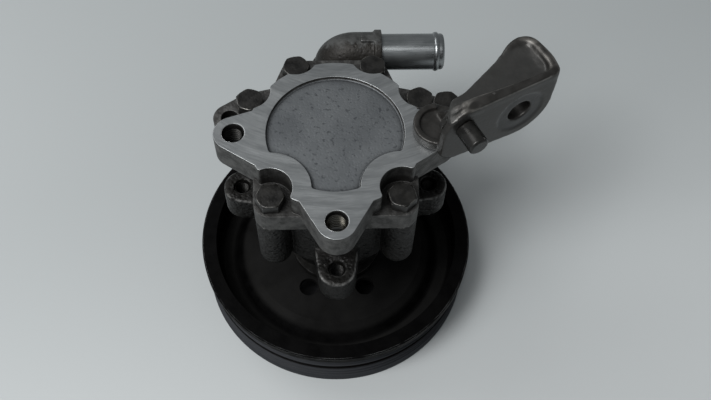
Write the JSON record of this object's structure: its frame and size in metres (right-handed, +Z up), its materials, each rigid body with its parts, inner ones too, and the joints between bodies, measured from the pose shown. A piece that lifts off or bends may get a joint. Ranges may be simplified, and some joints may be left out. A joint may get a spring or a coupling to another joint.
{
  "type": "power steering pump",
  "caption": "Belt-driven vane pump with a ribbed pulley, lugged housing, bolted rear cover, suction elbow with hose tube and a cast support bracket with an eye.",
  "frame": {"origin": "on the shaft axis, in the plane of the pulley's foot", "axes": "+Z up along the shaft from the pulley to the rear cover, +X towards the support bracket"},
  "size_m": [0.1706, 0.1482, 0.1546],
  "materials": {
    "housing_casting": "oily dark cast surface with worn edges",
    "elbow_casting": "grimy cast surface",
    "milled_aluminium": "milled face, cast sunk field",
    "black_steel": "dark oxidised with worn edges",
    "seal_rubber": "matt rubber",
    "plated_tube": "satin plated",
    "bracket_casting": "dark semi-gloss cast surface",
    "turned_steel": "turned",
    "black_paint": "black paint, dusty, worn at the rim",
    "ground_steel": "ground",
    "spring_steel": "spring temper",
    "bearing_bronze": "sintered bronze",
    "cage_brass": "pressed brass"
  },
  "bodies": {
    "housing": {"pump_housing": "housing_casting", "rear_cover": "milled_aluminium", "cover_bolts": "black_steel", "cover_o_ring": "seal_rubber", "suction_elbow": "elbow_casting", "suction_tube": "plated_tube", "elbow_o_ring": "seal_rubber", "support_bracket": "bracket_casting", "bracket_pin": "black_steel", "bracket_bolt": "black_steel", "shaft_seal": "seal_rubber", "retaining_ring": "spring_steel", "bearing_outer_ring": "ground_steel", "shaft_bush": "bearing_bronze", "front_plate": "ground_steel", "rear_plate": "ground_steel", "cam_ring": "ground_steel", "dowel_pins": "ground_steel", "valve_spring": "spring_steel", "valve_plug": "turned_steel", "plug_o_ring": "seal_rubber"},
    "shaft": {"pulley": "black_paint", "pulley_hub": "turned_steel", "pulley_bolts": "black_steel", "drive_shaft": "ground_steel", "bearing_inner_ring": "ground_steel", "rotor": "ground_steel", "rotor_clip": "spring_steel"},
    "ball_set": {"bearing_balls": "ground_steel", "bearing_cage": "cage_brass"},
    "spool": {"valve_spool": "ground_steel"},
    "vane_01_body": {"vane_01": "ground_steel"},
    "vane_02_body": {"vane_02": "ground_steel"},
    "vane_03_body": {"vane_03": "ground_steel"},
    "vane_04_body": {"vane_04": "ground_steel"},
    "vane_05_body": {"vane_05": "ground_steel"},
    "vane_06_body": {"vane_06": "ground_steel"},
    "vane_07_body": {"vane_07": "ground_steel"},
    "vane_08_body": {"vane_08": "ground_steel"},
    "vane_09_body": {"vane_09": "ground_steel"},
    "vane_10_body": {"vane_10": "ground_steel"}
  },
  "joints": [
    {"name": "shaft_spin", "type": "hinge", "parent": "housing", "child": "shaft", "pos_m": [0, 0, 0], "axis": [0, 0, 1], "continuous": true},
    {"name": "ball_set_spin", "type": "hinge", "parent": "housing", "child": "ball_set", "pos_m": [0, 0, 0], "axis": [0, 0, 1], "continuous": true},
    {"name": "spool_slide", "type": "slide", "parent": "housing", "child": "spool", "axis": [1, 0, 0], "range_m": [-0.008, 0], "stiffness_N_per_m": 6000, "springref_m": 0.004, "deforming": ["valve_spring"]},
    {"name": "vane_01_slide", "type": "slide", "parent": "shaft", "child": "vane_01_body", "axis": [1, 0, 0], "range_m": [-0.002, 0]},
    {"name": "vane_02_slide", "type": "slide", "parent": "shaft", "child": "vane_02_body", "axis": [0.809, 0.5878, 0], "range_m": [-0.002, 0]},
    {"name": "vane_03_slide", "type": "slide", "parent": "shaft", "child": "vane_03_body", "axis": [0.309, 0.9511, 0], "range_m": [-0.002, 0]},
    {"name": "vane_04_slide", "type": "slide", "parent": "shaft", "child": "vane_04_body", "axis": [-0.309, 0.9511, 0], "range_m": [-0.002, 0]},
    {"name": "vane_05_slide", "type": "slide", "parent": "shaft", "child": "vane_05_body", "axis": [-0.809, 0.5878, 0], "range_m": [-0.002, 0]},
    {"name": "vane_06_slide", "type": "slide", "parent": "shaft", "child": "vane_06_body", "axis": [-1, 0, 0], "range_m": [-0.002, 0]},
    {"name": "vane_07_slide", "type": "slide", "parent": "shaft", "child": "vane_07_body", "axis": [-0.809, -0.5878, 0], "range_m": [-0.002, 0]},
    {"name": "vane_08_slide", "type": "slide", "parent": "shaft", "child": "vane_08_body", "axis": [-0.309, -0.9511, 0], "range_m": [-0.002, 0]},
    {"name": "vane_09_slide", "type": "slide", "parent": "shaft", "child": "vane_09_body", "axis": [0.309, -0.9511, 0], "range_m": [-0.002, 0]},
    {"name": "vane_10_slide", "type": "slide", "parent": "shaft", "child": "vane_10_body", "axis": [0.809, -0.5878, 0], "range_m": [-0.002, 0]}
  ],
  "couplings": [
    {"joint": "ball_set_spin", "follows": "shaft_spin", "ratio": 0.3807}
  ]
}
